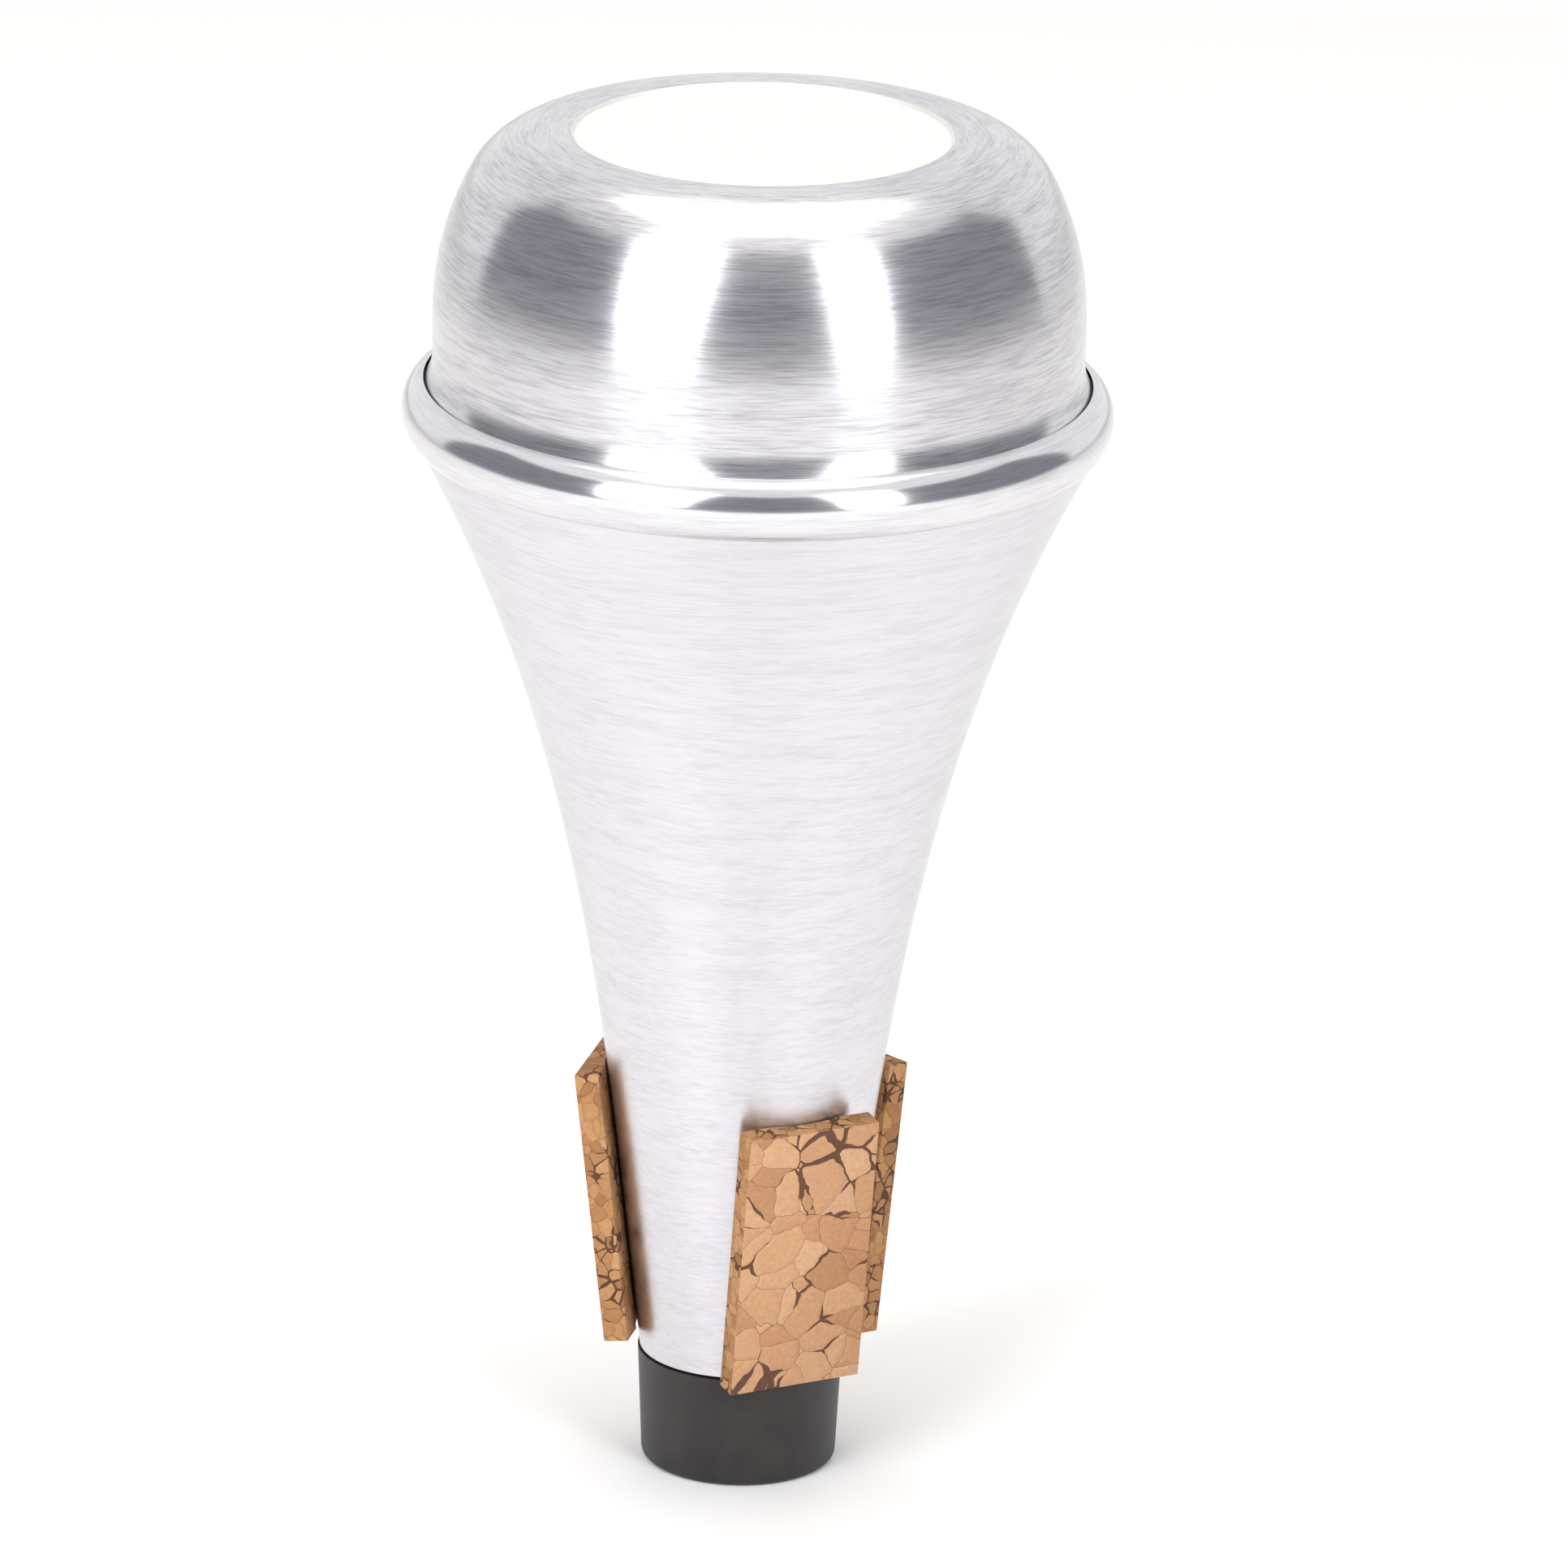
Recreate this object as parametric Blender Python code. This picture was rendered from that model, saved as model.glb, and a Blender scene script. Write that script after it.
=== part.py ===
# Trumpet straight mute: two spun aluminium shells, a moulded throat tube and three cork pads.
# It stands on its narrow end, with its axis on Z and the foot of the throat tube at z = 0.

import math

import bmesh
import bpy
from mathutils import Matrix, Vector

MM = 0.001

# Sheet, clearances and facets
SHEET = 0.9 * MM  # wall of both spun shells
SEAM_GAP = 0.3 * MM  # clearance wherever two pieces meet
TURN_STEPS = 48  # facets round a turned piece
ARC_STEP = math.radians(16)  # most that one facet of an arc turns

# Cone shell, outside, measured from its narrow end
CONE_END_RADIUS = 12.3 * MM
CONE_LENGTH = 115.6 * MM  # up to the crease under the bead
CONE_TAPER = 0.113  # growth of the radius for each unit of length
FLARE_RISE = 15.2 * MM  # what the flare adds to the radius at the crease
FLARE_POWER = 3.2
CONE_STATIONS = 12

# Bead that the cone's edge is curled into: an ellipse in section, angles from straight outward
BEAD_HALF_WIDTH = 3.3 * MM
BEAD_HALF_HEIGHT = 3.9 * MM
BEAD_START = math.radians(-66)  # at the crease
BEAD_END = math.radians(78)  # at the seam
CURL_BEVEL = math.radians(28)  # how much sooner the inside of the curl ends

# End cap, outside
FLANGE_FILLET = 6.0 * MM  # hollow curve between the wall and the seam
WALL_HEIGHT = 5.6 * MM  # straight wall above that curve
WALL_BOW = 35.2 * MM  # radius at which the wall starts to draw in
WALL_BOW_SWEEP = math.radians(28.2)
SHOULDER_RADIUS = 10.1 * MM
DISC_RADIUS = 22.3 * MM
DISC_DEPTH = 0.4 * MM  # the flat disc lies this much below the crest
DISC_CHAMFER = 0.4 * MM
LIP_END = math.radians(-40)  # where the lip inside the bead ends

# Throat tube
COLLAR_HEIGHT = 14.5 * MM  # the narrow end of the cone stands at this height
COLLAR_LIP = 0.2 * MM  # the collar is this much proud of the cone
COLLAR_DRAW_IN = 0.6 * MM  # taper of the collar towards its foot, on the radius
FOOT_ROUND = 1.0 * MM
BORE_CHAMFER = 0.5 * MM
SPIGOT_LENGTH = 12.0 * MM
SPIGOT_WALL = 2.1 * MM

# Cork pads
PAD_LENGTH = 34.5 * MM
PAD_WIDTH = 17.4 * MM
PAD_THICKNESS = 3.1 * MM
PAD_BED = 0.7 * MM  # depth of the hollow that seats the pad on the cone
PAD_EDGE = 0.25 * MM
# Turn from the front, and lift of the pad's foot above the narrow end of the cone
PADS = {
    "cork_pad_front": (math.radians(27), -0.4 * MM),
    "cork_pad_left": (math.radians(-103), 1.6 * MM),
    "cork_pad_right": (math.radians(133), 0.2 * MM),
}


def clear_scene():
    for obj in list(bpy.data.objects):
        bpy.data.objects.remove(obj, do_unlink=True)


def make_material(name, colour, metallic, roughness):
    material = bpy.data.materials.new(name)
    material.use_nodes = True
    shader = material.node_tree.nodes["Principled BSDF"]
    shader.inputs["Base Color"].default_value = (*colour, 1.0)
    shader.inputs["Metallic"].default_value = metallic
    shader.inputs["Roughness"].default_value = roughness
    return material


def cone_radius(height):
    """Outside radius of the cone at a height above its narrow end, or of its taper below it."""
    flare = FLARE_RISE * (max(height, 0) / CONE_LENGTH) ** FLARE_POWER
    return CONE_END_RADIUS + CONE_TAPER * height + flare


def on_ellipse(centre, half_width, half_height, angle):
    return centre + Vector((half_width * math.cos(angle), half_height * math.sin(angle)))


def arc(centre, half_width, half_height, start, end):
    """Points in section (radius, height) along part of an ellipse, both ends included."""
    count = max(1, math.ceil(abs(end - start) / ARC_STEP))
    angles = [start + (end - start) * i / count for i in range(count + 1)]
    return [on_ellipse(centre, half_width, half_height, angle) for angle in angles]


def offset_line(points, distance):
    """The same line moved to the left of its direction, with mitred corners."""
    sides = []
    for a, b in zip(points, points[1:]):
        along = (b - a).normalized()
        sides.append(Vector((-along.y, along.x)))
    befores = [sides[0]] + sides
    afters = sides + [sides[-1]]
    moved = []
    for point, before, after in zip(points, befores, afters):
        mitre = (before + after).normalized()
        moved.append(point + mitre * distance / mitre.dot(after))
    return moved


def turn(name, section, material, closed):
    """A solid of revolution round Z from a section in (radius, height)."""
    work = bmesh.new()
    points = [work.verts.new((point.x, 0.0, point.y)) for point in section]
    pairs = list(zip(points, points[1:]))
    if closed:
        pairs.append((points[-1], points[0]))
    edges = [work.edges.new(pair) for pair in pairs]
    bmesh.ops.spin(
        work,
        geom=points + edges,
        cent=(0, 0, 0),
        axis=(0, 0, 1),
        angle=math.tau,
        steps=TURN_STEPS,
        use_merge=True,
    )
    bmesh.ops.remove_doubles(work, verts=work.verts, dist=0.001 * MM)
    bmesh.ops.recalc_face_normals(work, faces=work.faces)
    return add_object(name, work, material)


def add_object(name, work, material):
    mesh = bpy.data.meshes.new(name)
    work.to_mesh(mesh)
    work.free()
    mesh.materials.append(material)
    mesh.shade_smooth()
    mesh.set_sharp_from_angle(angle=math.radians(30))
    obj = bpy.data.objects.new(name, mesh)
    bpy.context.collection.objects.link(obj)
    return obj


def bead_centre():
    """Centre of the bead's section, from the crease where the bead leaves the cone."""
    crease = Vector((cone_radius(CONE_LENGTH), COLLAR_HEIGHT + CONE_LENGTH))
    return crease - on_ellipse(Vector((0, 0)), BEAD_HALF_WIDTH, BEAD_HALF_HEIGHT, BEAD_START)


def curl_edge():
    """The two corners of the curled edge at the seam: outside, then inside."""
    centre = bead_centre()
    outside = on_ellipse(centre, BEAD_HALF_WIDTH, BEAD_HALF_HEIGHT, BEAD_END)
    inside = on_ellipse(
        centre, BEAD_HALF_WIDTH - SHEET, BEAD_HALF_HEIGHT - SHEET, BEAD_END - CURL_BEVEL
    )
    return outside, inside


def cone_line():
    heights = [CONE_LENGTH * i / CONE_STATIONS for i in range(CONE_STATIONS)]
    return [Vector((cone_radius(h), COLLAR_HEIGHT + h)) for h in heights]


def make_cone_shell(material):
    """Flared body whose wide edge is curled outward, up and in over the cap's flange."""
    centre = bead_centre()
    outside = cone_line() + arc(centre, BEAD_HALF_WIDTH, BEAD_HALF_HEIGHT, BEAD_START, BEAD_END)
    inner_bead = arc(
        centre,
        BEAD_HALF_WIDTH - SHEET,
        BEAD_HALF_HEIGHT - SHEET,
        BEAD_START,
        BEAD_END - CURL_BEVEL,
    )
    inside = offset_line(cone_line() + [outside[CONE_STATIONS]], SHEET)[:-1] + inner_bead
    return turn("cone_shell", outside + inside[::-1], material, closed=True)


def flange_start():
    """Where the cap's flange meets the seam, and the direction that it runs down at."""
    outside, inside = curl_edge()
    down = (inside - outside).normalized()
    return outside + Vector((down.y, -down.x)) * SEAM_GAP, down


def cap_line():
    """Outside of the cap from the centre of its disc to the end of its lip in the bead."""
    seam, down = flange_start()
    slope = math.atan2(down.x, -down.y)
    fillet_centre = seam + FLANGE_FILLET * Vector((math.cos(slope), math.sin(slope)))
    wall_radius = fillet_centre.x - FLANGE_FILLET
    wall_top = fillet_centre.y + WALL_HEIGHT
    bow_centre = Vector((wall_radius - WALL_BOW, wall_top))
    shoulder_centre = on_ellipse(
        bow_centre,
        WALL_BOW - SHOULDER_RADIUS,
        WALL_BOW - SHOULDER_RADIUS,
        WALL_BOW_SWEEP,
    )
    crest = shoulder_centre.y + SHOULDER_RADIUS
    disc = crest - DISC_DEPTH
    lip = arc(
        bead_centre(),
        BEAD_HALF_WIDTH - SHEET - SEAM_GAP,
        BEAD_HALF_HEIGHT - SHEET - SEAM_GAP,
        BEAD_END - CURL_BEVEL,
        LIP_END,
    )
    return (
        [
            Vector((0, disc)),
            Vector((DISC_RADIUS, disc)),
            Vector((DISC_RADIUS + DISC_CHAMFER, crest)),
        ]
        + arc(shoulder_centre, SHOULDER_RADIUS, SHOULDER_RADIUS, math.pi / 2, WALL_BOW_SWEEP)
        + arc(bow_centre, WALL_BOW, WALL_BOW, WALL_BOW_SWEEP, 0)[1:]
        + arc(fillet_centre, FLANGE_FILLET, FLANGE_FILLET, math.pi, math.pi + slope)
        + lip
    )


def make_end_cap(material):
    """Domed cup with a sunk disc, and a flared flange whose lip lies inside the bead."""
    outside = cap_line()
    inside = offset_line(outside, -SHEET)
    return turn("end_cap", outside + inside[::-1], material, closed=False)


def make_throat_tube(material):
    """Moulded tube: a collar under the cone and a spigot that fills the cone's narrow end."""
    tilt = math.atan(CONE_TAPER)
    inward = (SHEET + SEAM_GAP) / math.cos(tilt)
    collar_top = COLLAR_HEIGHT - SEAM_GAP
    spigot_top = COLLAR_HEIGHT + SPIGOT_LENGTH
    collar_radius = CONE_END_RADIUS + COLLAR_LIP
    foot_radius = collar_radius - COLLAR_DRAW_IN
    neck_radius = CONE_END_RADIUS - inward
    bore_radius = neck_radius - SPIGOT_WALL
    spigot_radius = cone_radius(SPIGOT_LENGTH) - inward
    round_centre = Vector((foot_radius - FOOT_ROUND, FOOT_ROUND))
    section = (
        [
            Vector((bore_radius, BORE_CHAMFER)),
            Vector((bore_radius + BORE_CHAMFER, 0)),
        ]
        + arc(round_centre, FOOT_ROUND, FOOT_ROUND, -math.pi / 2, 0)
        + [
            Vector((collar_radius, collar_top)),
            Vector((neck_radius, collar_top)),
            Vector((neck_radius, COLLAR_HEIGHT)),
            Vector((spigot_radius, spigot_top)),
            Vector((bore_radius, spigot_top)),
        ]
    )
    return turn("throat_tube", section, material, closed=True)


def make_pad_seat_cutter():
    """The cone and collar, grown by the clearance: it hollows the backs of the pads."""
    stations = 6
    reach = PAD_LENGTH * 1.5
    heights = [reach * i / stations for i in range(stations + 1)]
    cone = [Vector((cone_radius(h) + SEAM_GAP, COLLAR_HEIGHT + h)) for h in heights]
    collar_radius = CONE_END_RADIUS + COLLAR_LIP + SEAM_GAP
    collar = [Vector((collar_radius, 0)), Vector((collar_radius, COLLAR_HEIGHT))]
    section = [Vector((0, 0))] + collar + cone + [Vector((0, cone[-1].y))]
    cutter = turn("pad_seat_cutter", section, None, closed=False)
    cutter.hide_render = True
    cutter.display_type = "WIRE"
    return cutter


def make_pad(name, turn_angle, lift, material, cutter):
    """A flat pad that leans with the cone, its back hollowed where it lies on the cone."""
    middle = lift + PAD_LENGTH / 2
    lean = math.atan2(cone_radius(lift + PAD_LENGTH) - cone_radius(lift), PAD_LENGTH)
    back = cone_radius(middle) + SEAM_GAP - PAD_BED
    work = bmesh.new()
    bmesh.ops.create_cube(work, size=1.0)
    bmesh.ops.scale(work, vec=(PAD_WIDTH, PAD_THICKNESS, PAD_LENGTH), verts=work.verts)
    pad = add_object(name, work, material)
    bevel = pad.modifiers.new("worn edges", "BEVEL")
    bevel.width = PAD_EDGE
    bevel.segments = 1
    seat = pad.modifiers.new("seat on the cone", "BOOLEAN")
    seat.operation = "DIFFERENCE"
    seat.solver = "EXACT"
    seat.object = cutter
    outward = Matrix.Translation((0, -(back + PAD_THICKNESS / 2), COLLAR_HEIGHT + middle))
    pad.matrix_world = Matrix.Rotation(turn_angle, 4, "Z") @ outward @ Matrix.Rotation(lean, 4, "X")
    return pad


def main():
    clear_scene()
    satin_aluminium = make_material("satin aluminium", (0.71, 0.70, 0.72), 1.0, 0.35)
    bright_aluminium = make_material("bright aluminium", (0.76, 0.75, 0.76), 1.0, 0.2)
    black_rubber = make_material("black rubber", (0.015, 0.012, 0.012), 0.0, 0.5)
    cork = make_material("composition cork", (0.53, 0.25, 0.11), 0.0, 0.85)
    make_cone_shell(satin_aluminium)
    make_end_cap(bright_aluminium)
    make_throat_tube(black_rubber)
    cutter = make_pad_seat_cutter()
    for name, (turn_angle, lift) in PADS.items():
        make_pad(name, turn_angle, lift, cork, cutter)


main()
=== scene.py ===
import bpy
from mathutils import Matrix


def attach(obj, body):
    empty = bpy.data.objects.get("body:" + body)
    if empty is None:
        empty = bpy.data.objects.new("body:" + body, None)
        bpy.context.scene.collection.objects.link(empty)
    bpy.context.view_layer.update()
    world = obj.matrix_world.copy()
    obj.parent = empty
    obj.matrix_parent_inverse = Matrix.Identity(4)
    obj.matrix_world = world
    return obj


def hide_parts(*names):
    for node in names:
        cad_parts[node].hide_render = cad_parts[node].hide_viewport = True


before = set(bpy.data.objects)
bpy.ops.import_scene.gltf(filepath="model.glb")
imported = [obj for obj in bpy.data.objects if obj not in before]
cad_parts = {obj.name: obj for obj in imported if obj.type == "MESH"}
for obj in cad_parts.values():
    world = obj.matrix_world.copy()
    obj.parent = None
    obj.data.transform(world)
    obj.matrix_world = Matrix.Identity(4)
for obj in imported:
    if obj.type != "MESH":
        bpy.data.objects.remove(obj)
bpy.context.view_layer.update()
print("frame loaded")

# Looks of a spun aluminium trumpet mute with three cork pads, standing on its narrow end.
# Sizes are in metres; lengths written in millimetres go through mm.

import math

import bpy
from mathutils import Matrix, Vector

mm = 0.001


# Helpers for modelling

def deselectAll():
    if bpy.context.mode != "OBJECT":
        bpy.ops.object.mode_set(mode="OBJECT")
    bpy.ops.object.select_all(action="DESELECT")


def selectOnly(piece):
    deselectAll()
    piece.select_set(True)
    bpy.context.view_layer.objects.active = piece


# Points (radius, height) along part of an ellipse, from one angle to another in degrees
def arcPoints(centre, halfWidth, halfHeight, start, end, count):
    angles = [math.radians(start + (end - start) * i / count) for i in range(count + 1)]
    return [
        (centre[0] + halfWidth * math.cos(a), centre[1] + halfHeight * math.sin(a)) for a in angles
    ]


# The same outline moved to the left of its direction, corners mitred
def offsetOutline(points, distance):
    line = [Vector(p) for p in points]
    sides = []
    for a, b in zip(line, line[1:]):
        along = (b - a).normalized()
        sides.append(Vector((-along.y, along.x)))
    moved = []
    for point, before, after in zip(line, [sides[0]] + sides, sides + [sides[-1]]):
        mitre = (before + after).normalized()
        moved.append(tuple(point + mitre * distance / mitre.dot(after)))
    return moved


# A chain of edges in the XZ plane, drawn by extruding one point
def drawOutline(name, outline):
    deselectAll()
    bpy.ops.mesh.primitive_plane_add(size=mm)
    piece = bpy.context.object
    piece.name = name
    piece.data.name = name
    bpy.ops.object.mode_set(mode="EDIT")
    bpy.ops.mesh.select_all(action="SELECT")
    bpy.ops.mesh.merge(type="CENTER")
    bpy.ops.transform.translate(value=(outline[0][0], 0, outline[0][1]))
    for a, b in zip(outline, outline[1:]):
        step = (b[0] - a[0], 0, b[1] - a[1])
        bpy.ops.mesh.extrude_region_move(TRANSFORM_OT_translate={"value": step})
    return piece


turning = {
    "mergeWithin": 0.001 * mm,
    "sharpAngle": 28,  # edges sharper than this stay crisp
}


# A turned piece: the outline spun round Z, doubles merged, faces pointing out
def spinOutline(name, outline, steps):
    piece = drawOutline(name, outline)
    bpy.ops.mesh.select_all(action="SELECT")
    bpy.ops.mesh.spin(steps=steps, angle=math.tau, center=(0, 0, 0), axis=(0, 0, 1))
    bpy.ops.mesh.select_all(action="SELECT")
    bpy.ops.mesh.remove_doubles(threshold=turning["mergeWithin"])
    bpy.ops.mesh.normals_make_consistent(inside=False)
    bpy.ops.object.mode_set(mode="OBJECT")
    bpy.ops.object.shade_smooth_by_angle(angle=math.radians(turning["sharpAngle"]))
    return piece


# Gives a second material to the faces whose centre passes the test
def assignFaces(piece, material, chosen):
    piece.data.materials.append(material)
    slotIndex = len(piece.data.materials) - 1
    for face in piece.data.polygons:
        if chosen(face.center):
            face.material_index = slotIndex


# Helpers for materials

# sRGB hex to linear RGBA
def colour(hexCode):
    values = [int(hexCode[i:i + 2], 16) / 255 for i in (1, 3, 5)]
    linear = [v / 12.92 if v <= 0.04045 else ((v + 0.055) / 1.055) ** 2.4 for v in values]
    return (*linear, 1.0)


# One node, with its settings, its input values and the sockets that feed it
def addNode(tree, kind, settings=None, inputs=None, links=None):
    node = tree.nodes.new(kind)
    for key, value in (settings or {}).items():
        setattr(node, key, value)
    for key, value in (inputs or {}).items():
        node.inputs[key].default_value = value
    for key, source in (links or {}).items():
        tree.links.new(source, node.inputs[key])
    return node


def newMaterial(name, metallic, roughness, **more):
    material = bpy.data.materials.new(name)
    material.use_nodes = True
    shader = material.node_tree.nodes["Principled BSDF"]
    shader.inputs["Metallic"].default_value = metallic
    shader.inputs["Roughness"].default_value = roughness
    for key, value in more.items():
        shader.inputs[key].default_value = value
    return material, material.node_tree, shader


# Sets a colour ramp from (place, colour) pairs
def rampStops(node, stops):
    ramp = node.color_ramp
    while len(ramp.elements) < len(stops):
        ramp.elements.new(0.5)
    for element, (place, value) in zip(ramp.elements, stops):
        element.position = place
        element.color = value


def grey(value):
    return (value, value, value, 1.0)


# Sockets of the surface's place on a turned piece: round, radius and height.
# Round is a point on a circle, so that a pattern read with it runs round the axis.
def turnedSpace(tree):
    place = addNode(tree, "ShaderNodeTexCoord").outputs["Object"]
    split = addNode(tree, "ShaderNodeSeparateXYZ", links={0: place})
    flat = addNode(
        tree, "ShaderNodeCombineXYZ", links={0: split.outputs[0], 1: split.outputs[1]}
    ).outputs[0]
    length = addNode(tree, "ShaderNodeVectorMath", {"operation": "LENGTH"}, links={0: flat})
    around = addNode(tree, "ShaderNodeVectorMath", {"operation": "NORMALIZE"}, links={0: flat})
    return around.outputs[0], length.outputs["Value"], split.outputs[2]


spunFinish = {
    "lineWidth": 0.22 * mm,  # real turning lines are near 0.05 mm, too fine to show
    "lineDepth": 0.0012 * mm,
    "fineRun": 9.0,  # how fast a line changes round the axis; low is long
    "broadRun": 2.5,
    "broadWidth": 6,  # broad bands, in fine lines
    "broadShare": 0.35,
    "detail": 2.0,
    "noiseRoughness": 0.6,
    "alongTurn": 0.25,  # quarter turn, so that highlights spread along the profile
    "darkPlace": 0.5,
    "lightPlace": 0.56,
}


# Turning lines round the axis: noise that changes in lineWidth across and slowly along
def latheLines(tree, lineWidth, run):
    around, radius, height = turnedSpace(tree)
    slow = addNode(
        tree, "ShaderNodeVectorMath", {"operation": "SCALE"}, {"Scale": run}, {0: around}
    )
    split = addNode(tree, "ShaderNodeSeparateXYZ", links={0: slow.outputs[0]})
    times = {"operation": "MULTIPLY"}
    tall = addNode(tree, "ShaderNodeMath", times, {1: 1 / lineWidth}, {0: height})
    wide = addNode(tree, "ShaderNodeMath", times, {1: 1 / lineWidth}, {0: radius})
    spot = addNode(
        tree,
        "ShaderNodeCombineXYZ",
        links={0: split.outputs[0], 1: split.outputs[1], 2: tall.outputs[0]},
    )
    noise = addNode(
        tree,
        "ShaderNodeTexNoise",
        {"noise_dimensions": "4D"},
        {"Scale": 1.0, "Detail": spunFinish["detail"], "Roughness": spunFinish["noiseRoughness"]},
        {"Vector": spot.outputs[0], "W": wide.outputs[0]},
    )
    return noise.outputs["Fac"]


# Spun aluminium: lines round the axis that spread each highlight along the profile
def spunMetal(name, baseHex, darkHex, roughness, anisotropy, lineDepth, lineShade):
    material, tree, shader = newMaterial(name, 1.0, roughness, Anisotropic=anisotropy)
    shader.inputs["Anisotropic Rotation"].default_value = spunFinish["alongTurn"]
    tangent = addNode(tree, "ShaderNodeTangent", {"direction_type": "RADIAL", "axis": "Z"})
    tree.links.new(tangent.outputs[0], shader.inputs["Tangent"])
    fine = latheLines(tree, spunFinish["lineWidth"], spunFinish["fineRun"])
    broadWidth = spunFinish["lineWidth"] * spunFinish["broadWidth"]
    broad = latheLines(tree, broadWidth, spunFinish["broadRun"])
    both = addNode(
        tree,
        "ShaderNodeMix",
        {"data_type": "FLOAT"},
        {0: spunFinish["broadShare"]},
        {2: fine, 3: broad},
    )
    tone = addNode(tree, "ShaderNodeValToRGB", links={0: both.outputs[0]})
    darkPlace = spunFinish["darkPlace"] - lineShade
    rampStops(tone, [(darkPlace, colour(darkHex)), (spunFinish["lightPlace"], colour(baseHex))])
    tree.links.new(tone.outputs[0], shader.inputs["Base Color"])
    bump = addNode(
        tree,
        "ShaderNodeBump",
        inputs={"Strength": 1.0, "Distance": lineDepth},
        links={"Height": both.outputs[0]},
    )
    tree.links.new(bump.outputs[0], shader.inputs["Normal"])
    return material


# Finishes

lineDepth = spunFinish["lineDepth"]

# Aluminium sheet spun over a form and left satin: broad soft highlights down the cone
satinMetal = spunMetal("satin spun aluminium", "#DDDBE0", "#C4C2C8", 0.34, 0.6, lineDepth, 0.3)

# Aluminium burnished on the lathe: bright upright bands with clear turning lines
domeMetal = spunMetal("burnished spun aluminium", "#DAD8DC", "#A9A7AE", 0.25, 0.75, lineDepth, 0.22)

# Rolled edge, rubbed smooth by the roller: the sharpest highlight on the mute
beadMetal = spunMetal(
    "polished rolled aluminium", "#E0DEE2", "#C0BEC6", 0.16, 0.4, lineDepth * 0.5, 0.3
)

# Disc faced flat and left matt: an even pale grey
discMetal = spunMetal("faced matt aluminium", "#E6E4E2", "#DCDAD8", 0.55, 0.0, lineDepth, 0.4)

rubberFinish = {
    "roughness": 0.48,
    "clouds": 180.0,  # patches per metre, about 5 mm each
    "cloudDetail": 4.0,
    "dark": (0.35, "#1C1818"),
    "light": (0.7, "#2A2525"),
    "grain": 2500.0,  # mould grain per metre, about 0.4 mm
    "grainDetail": 3.0,
    "grainStrength": 0.35,
    "grainDepth": 0.02 * mm,
}

# Moulded rubber: near black with a brown cast, in faint patches, semi-matt
rubber, rubberTree, rubberShader = newMaterial(
    "moulded black rubber", 0.0, rubberFinish["roughness"]
)
rubberPlace = addNode(rubberTree, "ShaderNodeTexCoord").outputs["Object"]
rubberCloud = addNode(
    rubberTree,
    "ShaderNodeTexNoise",
    inputs={"Scale": rubberFinish["clouds"], "Detail": rubberFinish["cloudDetail"]},
    links={"Vector": rubberPlace},
)
rubberTone = addNode(rubberTree, "ShaderNodeValToRGB", links={0: rubberCloud.outputs[0]})
rampStops(rubberTone, [(p, colour(h)) for p, h in (rubberFinish["dark"], rubberFinish["light"])])
rubberTree.links.new(rubberTone.outputs[0], rubberShader.inputs["Base Color"])
rubberGrain = addNode(
    rubberTree,
    "ShaderNodeTexNoise",
    inputs={"Scale": rubberFinish["grain"], "Detail": rubberFinish["grainDetail"]},
    links={"Vector": rubberPlace},
)
rubberBump = addNode(
    rubberTree,
    "ShaderNodeBump",
    inputs={"Strength": rubberFinish["grainStrength"], "Distance": rubberFinish["grainDepth"]},
    links={"Height": rubberGrain.outputs[0]},
)
rubberTree.links.new(rubberBump.outputs[0], rubberShader.inputs["Normal"])

# Sizes that depend on the granule are in granules
corkFinish = {
    "roughness": 0.85,
    "warpScale": 0.6,
    "warpDetail": 3.0,
    "warpReach": 0.9,
    "speckle": 0.5 * mm,
    "speckleDetail": 5.0,
    "speckleShare": 0.45,
    "lift": 0.12,
    "openScale": 0.45,
    "openDetail": 2.0,
    "openMost": 0.75,  # noise value at which a gap is widest
    "gapLeast": 0.005,
    "gapMost": 0.16,
    "roundOff": 0.12,  # how far a granule's edge rounds down
    "bumpStrength": 0.8,
    "bumpDepth": 0.12 * mm,
}


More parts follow.
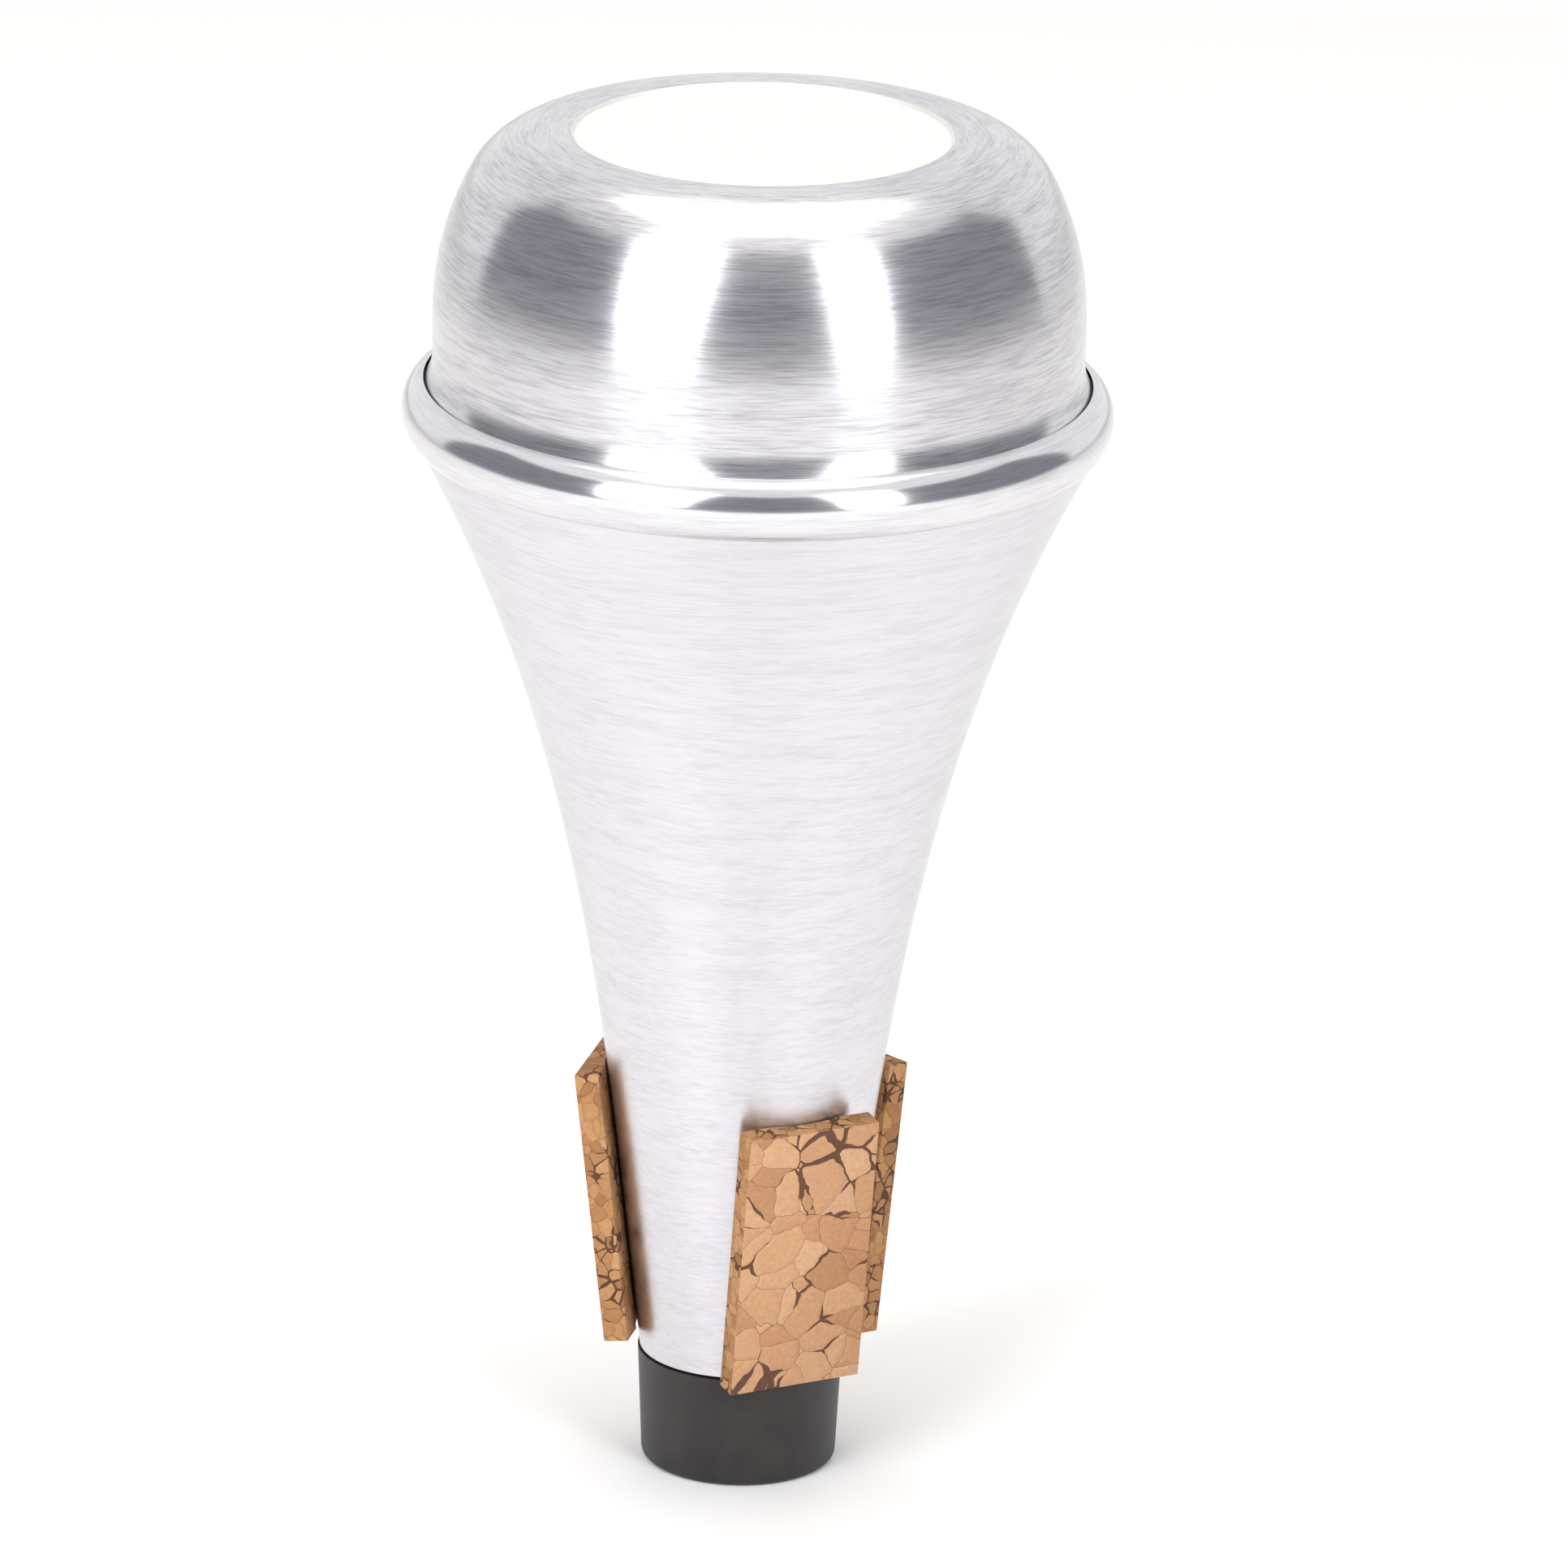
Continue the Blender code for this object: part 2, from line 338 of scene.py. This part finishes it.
# Composition cork, sliced from a pressed block: granules, each its own tone, dark gaps between some
def corkMaterial(name, granule, tones, gapHex, gapShare):
    cork = corkFinish
    material, tree, shader = newMaterial(name, 0.0, cork["roughness"])
    place = addNode(tree, "ShaderNodeTexCoord").outputs["Object"]
    warp = addNode(
        tree,
        "ShaderNodeTexNoise",
        inputs={"Scale": cork["warpScale"] / granule, "Detail": cork["warpDetail"]},
        links={"Vector": place},
    )
    shift = addNode(
        tree,
        "ShaderNodeVectorMath",
        {"operation": "SCALE"},
        {"Scale": granule * cork["warpReach"]},
        {0: warp.outputs["Color"]},
    )
    spot = addNode(
        tree, "ShaderNodeVectorMath", {"operation": "ADD"}, links={0: place, 1: shift.outputs[0]}
    )
    cells = addNode(
        tree,
        "ShaderNodeTexVoronoi",
        inputs={"Scale": 1 / granule},
        links={"Vector": spot.outputs[0]},
    )
    borders = addNode(
        tree,
        "ShaderNodeTexVoronoi",
        {"feature": "DISTANCE_TO_EDGE"},
        {"Scale": 1 / granule},
        {"Vector": spot.outputs[0]},
    )
    cellTone = addNode(tree, "ShaderNodeSeparateColor", links={0: cells.outputs["Color"]})
    granules = addNode(tree, "ShaderNodeValToRGB", links={0: cellTone.outputs[0]})
    rampStops(granules, [(i / (len(tones) - 1), colour(t)) for i, t in enumerate(tones)])
    speckle = addNode(
        tree,
        "ShaderNodeTexNoise",
        inputs={"Scale": 1 / cork["speckle"], "Detail": cork["speckleDetail"]},
        links={"Vector": place},
    )
    mottled = addNode(
        tree,
        "ShaderNodeMix",
        {"data_type": "RGBA", "blend_type": "MULTIPLY"},
        {0: cork["speckleShare"]},
        {6: granules.outputs[0], 7: speckle.outputs["Fac"]},
    )
    lifted = addNode(
        tree,
        "ShaderNodeMix",
        {"data_type": "RGBA", "blend_type": "SCREEN"},
        {0: cork["lift"]},
        {6: mottled.outputs[2], 7: granules.outputs[0]},
    )
    openness = addNode(
        tree,
        "ShaderNodeTexNoise",
        inputs={"Scale": cork["openScale"] / granule, "Detail": cork["openDetail"]},
        links={"Vector": place},
    )
    widthHere = addNode(
        tree,
        "ShaderNodeMapRange",
        inputs={1: 1 - gapShare, 2: cork["openMost"], 3: cork["gapLeast"], 4: cork["gapMost"]},
        links={0: openness.outputs[0]},
    )
    isGap = addNode(
        tree,
        "ShaderNodeMath",
        {"operation": "LESS_THAN"},
        links={0: borders.outputs["Distance"], 1: widthHere.outputs[0]},
    )
    final = addNode(
        tree,
        "ShaderNodeMix",
        {"data_type": "RGBA"},
        {7: colour(gapHex)},
        {0: isGap.outputs[0], 6: lifted.outputs[2]},
    )
    tree.links.new(final.outputs[2], shader.inputs["Base Color"])
    depth = addNode(
        tree,
        "ShaderNodeMapRange",
        inputs={1: 0.0, 2: cork["roundOff"], 3: 0.0, 4: 1.0},
        links={0: borders.outputs["Distance"]},
    )
    bump = addNode(
        tree,
        "ShaderNodeBump",
        inputs={"Strength": cork["bumpStrength"], "Distance": cork["bumpDepth"]},
        links={"Height": depth.outputs[0]},
    )
    tree.links.new(bump.outputs[0], shader.inputs["Normal"])
    return material


faceTones = ["#B27F57", "#C6946A", "#CFA07A", "#BD8860"]
# The pad's sides, ends and back take finer granules in darker tones; the darker tones are painted
# shade
shadedSideTones = ["#9A6A42", "#B5804F", "#C29061", "#A67347"]
corkFace = corkMaterial("composition cork, sliced face", 4.2 * mm, faceTones, "#5A3A28", 0.52)
corkShadedSides = corkMaterial("composition cork, sides in painted shade", 1.7 * mm, shadedSideTones, "#52341F", 0.5)
print("materials made")


# Cone shell, by the same sizes as the frame's own

shell = {
    "sheet": 0.9 * mm,
    "seamGap": 0.3 * mm,
    "foot": 14.5 * mm,  # height of the cone's narrow end
    "endRadius": 12.3 * mm,
    "length": 115.6 * mm,
    "taper": 0.113,
    "flareRise": 15.2 * mm,
    "flarePower": 3.2,
    "stations": 60,
    "steps": 256,
}

# Rolled bead at the cone's wide edge: angles in degrees, from outwards up
bead = {
    "halfWidth": 3.3 * mm,
    "halfHeight": 3.9 * mm,
    "start": -66,
    "end": 78,
    "bevel": 28,
    "outerSteps": 30,
    "innerSteps": 22,
}


def coneRadius(height):
    flare = shell["flareRise"] * (max(height, 0) / shell["length"]) ** shell["flarePower"]
    return shell["endRadius"] + shell["taper"] * height + flare


crease = (coneRadius(shell["length"]), shell["foot"] + shell["length"])
bead["centre"] = (
    crease[0] - bead["halfWidth"] * math.cos(math.radians(bead["start"])),
    crease[1] - bead["halfHeight"] * math.sin(math.radians(bead["start"])),
)


def beadArc(inset, start, end, count):
    return arcPoints(
        bead["centre"], bead["halfWidth"] - inset, bead["halfHeight"] - inset, start, end, count
    )


def buildConeShell():
    sheet = shell["sheet"]
    heights = [shell["length"] * i / shell["stations"] for i in range(shell["stations"])]
    wall = [(coneRadius(h), shell["foot"] + h) for h in heights]
    curl = beadArc(0, bead["start"], bead["end"], bead["outerSteps"])
    innerCurl = beadArc(sheet, bead["start"], bead["end"] - bead["bevel"], bead["innerSteps"])
    inside = offsetOutline(wall + [curl[0]], sheet)[:-1] + innerCurl
    piece = spinOutline("coneShell", wall + curl + inside[::-1] + [wall[0]], shell["steps"])
    piece.data.materials.append(satinMetal)
    assignFaces(piece, beadMetal, lambda c: c.z > crease[1] and math.hypot(c.x, c.y) > crease[0])
    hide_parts("cone_shell")
    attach(piece, "root")


# End cap, whose lip goes down inside the bead

cap = {
    "fillet": 6.0 * mm,
    "wallHeight": 5.6 * mm,
    "bow": 35.2 * mm,
    "bowSweep": 28.2,
    "shoulder": 10.1 * mm,
    "discRadius": 22.3 * mm,
    "discDepth": 0.4 * mm,
    "discChamfer": 0.4 * mm,
    "lipEnd": -40,
    "discRings": 5,
    "shoulderSteps": 24,
    "bowSteps": 14,
    "filletSteps": 20,
    "lipSteps": 16,
}


# The cap's outer outline from the disc's centre to the end of the lip, and the disc's height
def capOutline():
    insideAngle = bead["end"] - bead["bevel"]
    outer = Vector(beadArc(0, bead["end"], bead["end"], 1)[0])
    inner = Vector(beadArc(shell["sheet"], insideAngle, insideAngle, 1)[0])
    down = (inner - outer).normalized()
    seam = outer + Vector((down.y, -down.x)) * shell["seamGap"]
    slope = math.degrees(math.atan2(down.x, -down.y))
    lean = math.radians(slope)
    filletCentre = seam + cap["fillet"] * Vector((math.cos(lean), math.sin(lean)))
    wallTop = filletCentre.y + cap["wallHeight"]
    bowCentre = (filletCentre.x - cap["fillet"] - cap["bow"], wallTop)
    sweep = math.radians(cap["bowSweep"])
    reach = cap["bow"] - cap["shoulder"]
    shoulderCentre = (bowCentre[0] + reach * math.cos(sweep), bowCentre[1] + reach * math.sin(sweep))
    crest = shoulderCentre[1] + cap["shoulder"]
    disc = crest - cap["discDepth"]
    ringCount = cap["discRings"]
    rings = [(cap["discRadius"] * i / ringCount, disc) for i in range(ringCount + 1)]
    shoulder, bow, fillet = cap["shoulder"], cap["bow"], cap["fillet"]
    return (
        rings
        + [(cap["discRadius"] + cap["discChamfer"], crest)]
        + arcPoints(shoulderCentre, shoulder, shoulder, 90, cap["bowSweep"], cap["shoulderSteps"])
        + arcPoints(bowCentre, bow, bow, cap["bowSweep"], 0, cap["bowSteps"])[1:]
        + arcPoints(filletCentre, fillet, fillet, 180, 180 + slope, cap["filletSteps"])
        + beadArc(shell["sheet"] + shell["seamGap"], insideAngle, cap["lipEnd"], cap["lipSteps"])
    ), disc


def buildEndCap():
    outside, disc = capOutline()
    inside = offsetOutline(outside, -shell["sheet"])
    piece = spinOutline("endCap", outside + inside[::-1], shell["steps"])
    piece.data.materials.append(domeMetal)
    discEdge = cap["discRadius"] + cap["discChamfer"] / 2
    discBack = disc - 0.1 * mm  # below the disc's outer face, above its inner one
    assignFaces(piece, discMetal, lambda c: math.hypot(c.x, c.y) < discEdge and c.z > discBack)
    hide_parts("end_cap")
    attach(piece, "root")


# Throat tube: the collar that shows, and the spigot inside the cone

tube = {
    "collarLip": 0.2 * mm,
    "drawIn": 0.6 * mm,
    "footRound": 1.0 * mm,
    "footSteps": 8,
    "boreChamfer": 0.5 * mm,
    "spigotLength": 12.0 * mm,
    "spigotWall": 2.1 * mm,
}


def buildThroatTube():
    tilt = math.atan(shell["taper"])
    inward = (shell["sheet"] + shell["seamGap"]) / math.cos(tilt)
    collarTop = shell["foot"] - shell["seamGap"]
    spigotTop = shell["foot"] + tube["spigotLength"]
    collarRadius = shell["endRadius"] + tube["collarLip"]
    neckRadius = shell["endRadius"] - inward
    boreRadius = neckRadius - tube["spigotWall"]
    spigotRadius = coneRadius(tube["spigotLength"]) - inward
    footRound = tube["footRound"]
    footCentre = (collarRadius - tube["drawIn"] - footRound, footRound)
    outline = (
        [(boreRadius, tube["boreChamfer"]), (boreRadius + tube["boreChamfer"], 0)]
        + arcPoints(footCentre, footRound, footRound, -90, 0, tube["footSteps"])
        + [
            (collarRadius, collarTop),
            (neckRadius, collarTop),
            (neckRadius, shell["foot"]),
            (spigotRadius, spigotTop),
            (boreRadius, spigotTop),
            (boreRadius, tube["boreChamfer"]),
        ]
    )
    piece = spinOutline("throatTube", outline, shell["steps"])
    piece.data.materials.append(rubber)
    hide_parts("throat_tube")
    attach(piece, "root")


buildConeShell()
buildEndCap()
buildThroatTube()
print("shells and tube spun")


# Cork pads, glued on the cone round its narrow end

pad = {
    "length": 34.5 * mm,
    "width": 17.4 * mm,
    "thickness": 3.1 * mm,
    "bed": 0.7 * mm,  # how far the cone sinks into the pad's back
    "edge": 0.25 * mm,
    "edgeSegments": 2,
    "sharpAngle": 40,
    "seatReach": 1.5,  # the cutter's length above the collar, in pad lengths
    "seatStations": 24,
    "seatSteps": 192,
    # turn round the axis from the front, and height above the cone's narrow end
    "places": {
        "front": (27, -0.4 * mm),
        "left": (-103, 1.6 * mm),
        "right": (133, 0.2 * mm),
    },
}


# The cone and collar grown by the gap, which hollows the backs of the pads
def buildSeatCutter():
    reach = pad["length"] * pad["seatReach"]
    collar = shell["endRadius"] + tube["collarLip"] + shell["seamGap"]
    outline = [(0, 0), (collar, 0), (collar, shell["foot"])]
    for i in range(pad["seatStations"] + 1):
        h = reach * i / pad["seatStations"]
        outline.append((coneRadius(h) + shell["seamGap"], shell["foot"] + h))
    outline.append((0, shell["foot"] + reach))
    return spinOutline("seatCutter", outline, pad["seatSteps"])


def buildPad(side, turn, lift, cutter):
    middle = lift + pad["length"] / 2
    lean = math.atan2(coneRadius(lift + pad["length"]) - coneRadius(lift), pad["length"])
    back = coneRadius(middle) + shell["seamGap"] - pad["bed"]
    deselectAll()
    bpy.ops.mesh.primitive_cube_add(size=1)
    piece = bpy.context.object
    piece.name = "corkPad" + side.capitalize()
    piece.data.name = piece.name
    piece.scale = (pad["width"], pad["thickness"], pad["length"])
    bpy.ops.object.transform_apply(location=False, rotation=False, scale=True)
    bevel = piece.modifiers.new("soft edges", "BEVEL")
    bevel.width = pad["edge"]
    bevel.segments = pad["edgeSegments"]
    bpy.ops.object.modifier_apply(modifier=bevel.name)
    outward = Matrix.Translation((0, -(back + pad["thickness"] / 2), shell["foot"] + middle))
    turned = Matrix.Rotation(math.radians(turn), 4, "Z") @ outward @ Matrix.Rotation(lean, 4, "X")
    piece.matrix_world = turned
    selectOnly(piece)
    bpy.ops.object.transform_apply(location=True, rotation=True, scale=True)
    seat = piece.modifiers.new("seat", "BOOLEAN")
    seat.operation = "DIFFERENCE"
    seat.solver = "EXACT"
    seat.object = cutter
    bpy.ops.object.modifier_apply(modifier=seat.name)
    bpy.ops.object.shade_smooth_by_angle(angle=math.radians(pad["sharpAngle"]))
    piece.data.materials.append(corkFace)
    piece.data.materials.append(corkShadedSides)
    outside = (turned.to_3x3() @ Vector((0, -1, 0))).normalized()
    for face in piece.data.polygons:
        # All but the outer face take the darker cork, whose tones are painted shade
        if face.normal.dot(outside) < 0.9:  # all but the outer face
            face.material_index = 1
    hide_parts("cork_pad_" + side)
    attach(piece, "root")


seatCutter = buildSeatCutter()
for side, (turn, lift) in pad["places"].items():
    buildPad(side, turn, lift, seatCutter)
bpy.data.objects.remove(seatCutter, do_unlink=True)
print("cork pads seated")


# Floor, room and lamps

stage = {
    "roundSteps": 96,
    "floorRadius": 3.0,
    "floorPaint": "#F4F4F4",
    "roomForDiffuse": 0.55,  # how strongly the white room lights matt surfaces
    "cardDistance": 1.9,
    "cardHeight": 1.9,
    "cardGrey": "#8A8890",
    "cardDark": "#202022",
    "cardReach": 118,  # degrees each way from the front
    "paintRoughness": 0.9,
}

deselectAll()
bpy.ops.mesh.primitive_circle_add(
    vertices=stage["roundSteps"], radius=stage["floorRadius"], fill_type="NGON"
)
floor = bpy.context.object
floor.name = "floor"
floorPaint, floorTree, floorShader = newMaterial("pale studio floor", 0.0, stage["paintRoughness"])
floorShader.inputs["Base Color"].default_value = colour(stage["floorPaint"])
floorShader.inputs["Specular IOR Level"].default_value = 0.0
floor.data.materials.append(floorPaint)


# A place at an angle from the front (degrees, towards +X), a distance and a height
def aroundFront(angle, distance, height):
    a = math.radians(angle)
    return (distance * math.sin(a), -distance * math.cos(a), height)


# Each lamp: place, width, height, power and tint
lamps = {
    "soft box left": (aroundFront(-36, 1.3, 0.75), 0.75, 1.3, 15, "#FFFFFF"),
    "soft box right": (aroundFront(37, 1.4, 0.75), 0.5, 1.3, 11, "#FFFFFF"),
    "top light": ((0.0, 0.25, 1.6), 1.2, 1.2, 12, "#FFFBF5"),
}
lampAim = Vector((0, 0, 0.1))

for name, (place, width, height, power, tint) in lamps.items():
    lampData = bpy.data.lights.new(name, "AREA")
    lampData.shape = "RECTANGLE"
    lampData.size = width
    lampData.size_y = height
    lampData.energy = power
    lampData.color = colour(tint)[:3]
    lamp = bpy.data.objects.new(name, lampData)
    bpy.context.scene.collection.objects.link(lamp)
    lamp.location = place
    lamp.rotation_euler = (lampAim - Vector(place)).to_track_quat("-Z", "Y").to_euler()

# White for the camera and for reflections, dimmer for matt surfaces
world = bpy.data.worlds.new("studio")
bpy.context.scene.world = world
world.use_nodes = True
worldTree = world.node_tree
background = worldTree.nodes["Background"]
rays = addNode(worldTree, "ShaderNodeLightPath")
cameraOrGlossy = addNode(
    worldTree,
    "ShaderNodeMath",
    {"operation": "MAXIMUM"},
    links={0: rays.outputs["Is Camera Ray"], 1: rays.outputs["Is Glossy Ray"]},
)
seen = addNode(
    worldTree,
    "ShaderNodeMath",
    {"operation": "MAXIMUM"},
    links={0: cameraOrGlossy.outputs[0], 1: rays.outputs["Is Transmission Ray"]},
)
worldTone = addNode(
    worldTree,
    "ShaderNodeMix",
    {"data_type": "RGBA"},
    {6: grey(stage["roomForDiffuse"]), 7: grey(1.0)},
    {0: seen.outputs[0]},
)
worldTree.links.new(worldTone.outputs[2], background.inputs[0])

# Dark cards stand round the front of the set, out of the picture, as the unlit side of a studio
deselectAll()
bpy.ops.mesh.primitive_circle_add(
    vertices=stage["roundSteps"], radius=stage["cardDistance"], fill_type="NOTHING"
)
cards = bpy.context.object
cards.name = "dark cards"
bpy.ops.object.mode_set(mode="EDIT")
bpy.ops.mesh.select_all(action="SELECT")
bpy.ops.mesh.extrude_region_move(TRANSFORM_OT_translate={"value": (0, 0, stage["cardHeight"])})
bpy.ops.mesh.select_all(action="DESELECT")
bpy.ops.object.mode_set(mode="OBJECT")
openFrom = math.cos(math.radians(stage["cardReach"])) * stage["cardDistance"]
for face in cards.data.polygons:
    face.select = -face.center.y < openFrom
bpy.ops.object.mode_set(mode="EDIT")
bpy.ops.mesh.select_mode(type="FACE")
bpy.ops.mesh.delete(type="FACE")
bpy.ops.object.mode_set(mode="OBJECT")
cardPaint, cardTree, cardShader = newMaterial("dark card", 0.0, stage["paintRoughness"])
cardShader.inputs["Base Color"].default_value = colour(stage["cardDark"])
cardShader.inputs["Emission Color"].default_value = colour(stage["cardGrey"])
cardShader.inputs["Emission Strength"].default_value = 1.0
cards.data.materials.append(cardPaint)
cards.visible_camera = False
cards.visible_diffuse = False
cards.visible_shadow = False
print("stage set")


# Camera, fitted to the photograph's outline, disc and seam; angles in degrees

view = {
    "place": (0, -1336.06 * mm, 542.2 * mm),
    "lens": 269.05,
    "sensor": 36.0,
    "pitch": 18.828,
    "yaw": 0.1724,
    "roll": 1.1519,
    "nearest": 50 * mm,
}

cameraData = bpy.data.cameras.new("camera")
cameraData.sensor_fit = "HORIZONTAL"
cameraData.sensor_width = view["sensor"]
cameraData.lens = view["lens"]
cameraData.clip_start = view["nearest"]
camera = bpy.data.objects.new("camera", cameraData)
bpy.context.scene.collection.objects.link(camera)
pitch, yaw, roll = (math.radians(view[k]) for k in ("pitch", "yaw", "roll"))
forward = Vector((math.sin(yaw) * math.cos(pitch), math.cos(yaw) * math.cos(pitch), -math.sin(pitch)))
right = Vector((math.cos(yaw), -math.sin(yaw), 0))
up = right.cross(forward)
sideways = math.cos(roll) * right + math.sin(roll) * up
upright = math.cos(roll) * up - math.sin(roll) * right
camera.matrix_world = Matrix(
    [[sideways[i], upright[i], -forward[i], view["place"][i]] for i in range(3)] + [[0, 0, 0, 1]]
)
bpy.context.scene.camera = camera
bpy.context.scene.view_settings.view_transform = "Standard"
print("camera placed")

bpy.context.view_layer.update()
